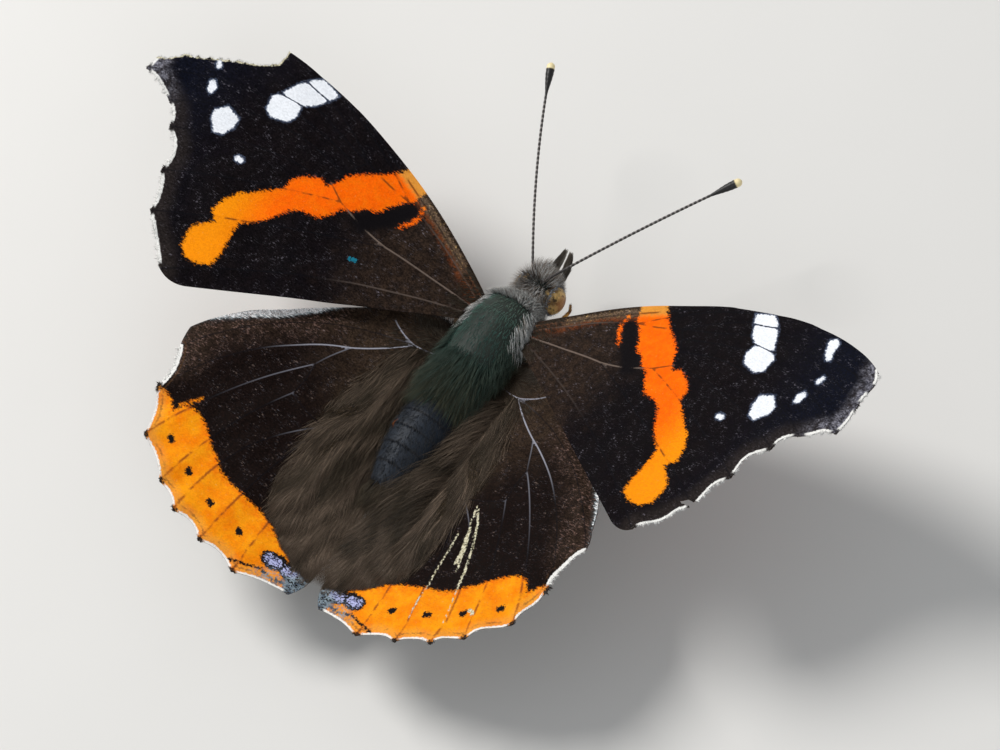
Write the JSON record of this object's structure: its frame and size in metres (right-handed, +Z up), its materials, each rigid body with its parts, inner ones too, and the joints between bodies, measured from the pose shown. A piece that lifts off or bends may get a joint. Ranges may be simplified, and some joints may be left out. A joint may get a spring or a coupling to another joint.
{
  "type": "red admiral butterfly",
  "caption": "Still, life-size red admiral butterfly standing on its legs with its wings spread, one forewing tip torn off.",
  "frame": {"origin": "middle of the bounding box at ground level, under the insect", "axes": "+X to the insect's right, +Y towards its head, +Z up"},
  "size_m": [0.059, 0.0432, 0.0167],
  "materials": {
    "wing": "fine overlapping scales, near-black to dark brown with orange bands, white spots and pale fringes",
    "body_fur": "dense short hair, dark olive grey",
    "abdomen": "slate-grey scales over soft segments",
    "eye": "golden brown compound eye with darker patches and a fine facet texture",
    "antenna": "black with fine white rings and cream-tipped clubs",
    "leg": "brown and buff scales and short bristles",
    "mouthparts": "dark horn brown"
  },
  "bodies": {
    "root": {"thorax": "body_fur", "head": "body_fur", "abdomen": "abdomen", "proboscis": "mouthparts", "eye_left": "eye", "eye_right": "eye", "palp_left": "body_fur", "palp_right": "body_fur", "antenna_left": "antenna", "antenna_right": "antenna", "foreleg_left": "leg", "foreleg_right": "leg", "midleg_left": "leg", "midleg_right": "leg", "hindleg_left": "leg", "hindleg_right": "leg", "forewing_left": "wing", "forewing_right": "wing", "hindwing_left": "wing", "hindwing_right": "wing"}
  },
  "joints": []
}
